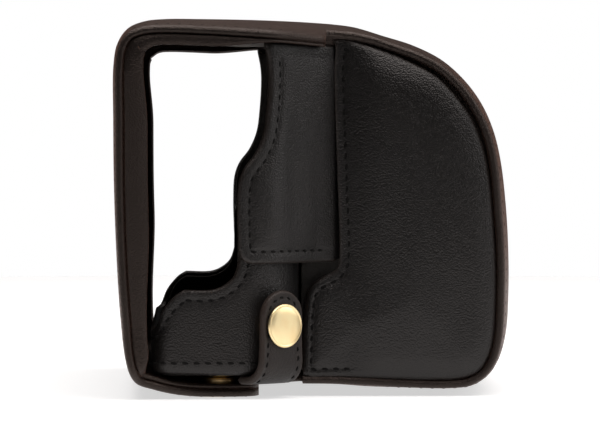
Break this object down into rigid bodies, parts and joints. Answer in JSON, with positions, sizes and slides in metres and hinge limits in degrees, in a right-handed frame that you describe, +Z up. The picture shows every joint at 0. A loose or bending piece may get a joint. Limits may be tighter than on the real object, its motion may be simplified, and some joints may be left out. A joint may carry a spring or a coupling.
{
  "type": "camera ever ready case",
  "caption": "Moulded leather half-case with a screw in its floor, and a hinged cover of back, top, eared sides and lens nose, closed by a press-stud tab at each side.",
  "frame": {"origin": "middle of the case's footprint, on the surface that it stands on", "axes": "+X across the width, -Y the front, where the lens nose is, +Z up"},
  "size_m": [0.14, 0.101, 0.0929],
  "materials": {
    "black_leather": "semi-matt black leather, dark brown undertone",
    "suede_lining": "charcoal suede",
    "stiffener_board": "fibre board",
    "brass": "satin pale brass",
    "steel": "satin"
  },
  "bodies": {
    "half_case": {"half_case_shell": "black_leather", "half_case_lining": "suede_lining", "base_board": "stiffener_board", "floor_pad": "suede_lining", "screw_bush": "brass", "rear_flap": "black_leather", "flap_snap_caps": "brass", "flap_snap_sockets": "brass", "flap_snap_studs": "brass", "column_studs": "brass", "column_rivets": "brass"},
    "cover_rear": {"cover_leather": "black_leather", "cover_board": "stiffener_board", "cover_lining": "suede_lining", "left_lip": "black_leather", "right_lip": "black_leather"},
    "nose": {"nose_band": "black_leather", "nose_lining": "suede_lining", "nose_tongue": "black_leather", "left_nose_piping": "black_leather", "left_nose_panel": "black_leather", "left_nose_side_lining": "suede_lining", "left_wing": "black_leather", "left_wing_lining": "suede_lining", "left_tab_root": "black_leather", "right_nose_piping": "black_leather", "right_nose_panel": "black_leather", "right_nose_side_lining": "suede_lining", "right_wing": "black_leather", "right_wing_lining": "suede_lining", "right_tab_root": "black_leather"},
    "left_tab": {"left_tab": "black_leather", "left_tab_cap": "brass", "left_tab_socket": "brass"},
    "right_tab": {"right_tab": "black_leather", "right_tab_cap": "brass", "right_tab_socket": "brass"},
    "camera_screw": {"camera_screw": "steel", "screw_clip": "steel"}
  },
  "joints": [
    {"name": "cover_hinge", "type": "hinge", "parent": "half_case", "child": "cover_rear", "pos_m": [0, 0.0456, 0.0054], "axis": [-1, 0, 0], "range_deg": [0, 75]},
    {"name": "nose_hinge", "type": "hinge", "parent": "cover_rear", "child": "nose", "pos_m": [0, -0.0046, 0.0918], "axis": [-1, 0, 0], "range_deg": [0, 100]},
    {"name": "left_tab_hinge", "type": "hinge", "parent": "nose", "child": "left_tab", "pos_m": [-0.06408, 0.00955, 0.00512], "axis": [0.6428, -0.766, 0], "range_deg": [0, 88]},
    {"name": "right_tab_hinge", "type": "hinge", "parent": "nose", "child": "right_tab", "pos_m": [0.06408, 0.00955, 0.00512], "axis": [0.6428, 0.766, 0], "range_deg": [0, 88]},
    {"name": "camera_screw_spin", "type": "hinge", "parent": "half_case", "child": "camera_screw", "pos_m": [0, 0.0224, 0.0055], "axis": [0, 0, 1], "continuous": true}
  ],
  "couplings": [
    {"joint": "nose_hinge", "follows": "cover_hinge", "ratio": 1.3333}
  ]
}
